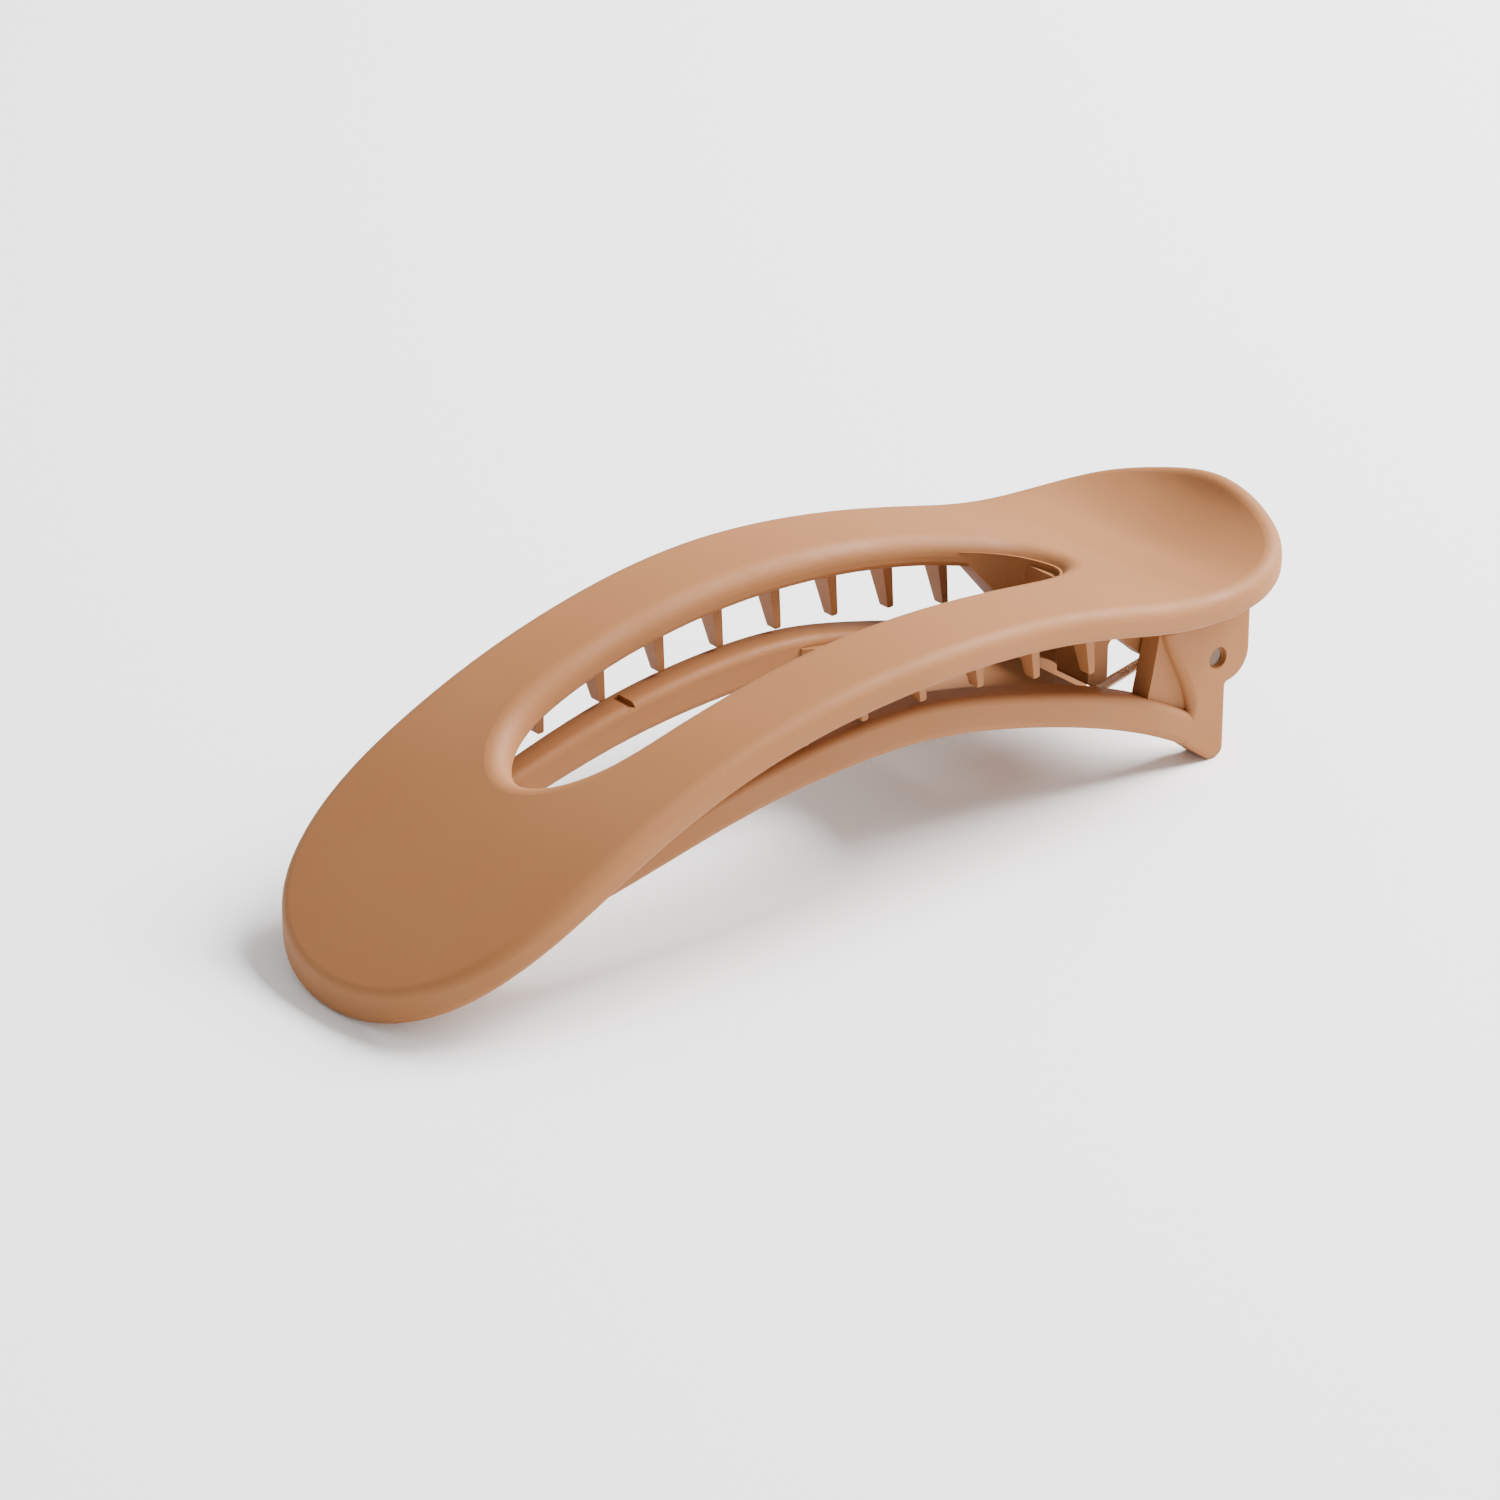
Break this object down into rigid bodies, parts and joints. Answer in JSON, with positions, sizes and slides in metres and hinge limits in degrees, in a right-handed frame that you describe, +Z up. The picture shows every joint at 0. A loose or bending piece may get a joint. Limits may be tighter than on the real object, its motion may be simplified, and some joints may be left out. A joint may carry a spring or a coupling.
{
  "type": "duckbill hair clip",
  "caption": "Long arched duckbill hair clip in matte plastic with a window in the upper jaw, short teeth, a curled thumb pad and a sprung hinge; its jaws grip a twist of hair.",
  "frame": {"origin": "on the table, under the middle of the clip's box", "axes": "+X from the tip towards the thumb pad, +Y across, +Z up; closed and lying on a table"},
  "size_m": [0.125, 0.0414, 0.0286],
  "materials": {
    "clip_plastic": "soft matte",
    "hinge_steel": "drawn wire"
  },
  "bodies": {
    "lower": {"lower_jaw": "clip_plastic", "hinge_pin": "hinge_steel", "spring": "hinge_steel"},
    "upper": {"upper_jaw": "clip_plastic"}
  },
  "joints": [
    {"name": "jaw_hinge", "type": "hinge", "parent": "lower", "child": "upper", "pos_m": [0.0492, 0, 0.0123], "axis": [0, 1, 0], "range_deg": [0, 32], "stiffness_Nm_per_rad": 0.15, "springref_deg": -34.38, "deforming": ["spring"]}
  ]
}
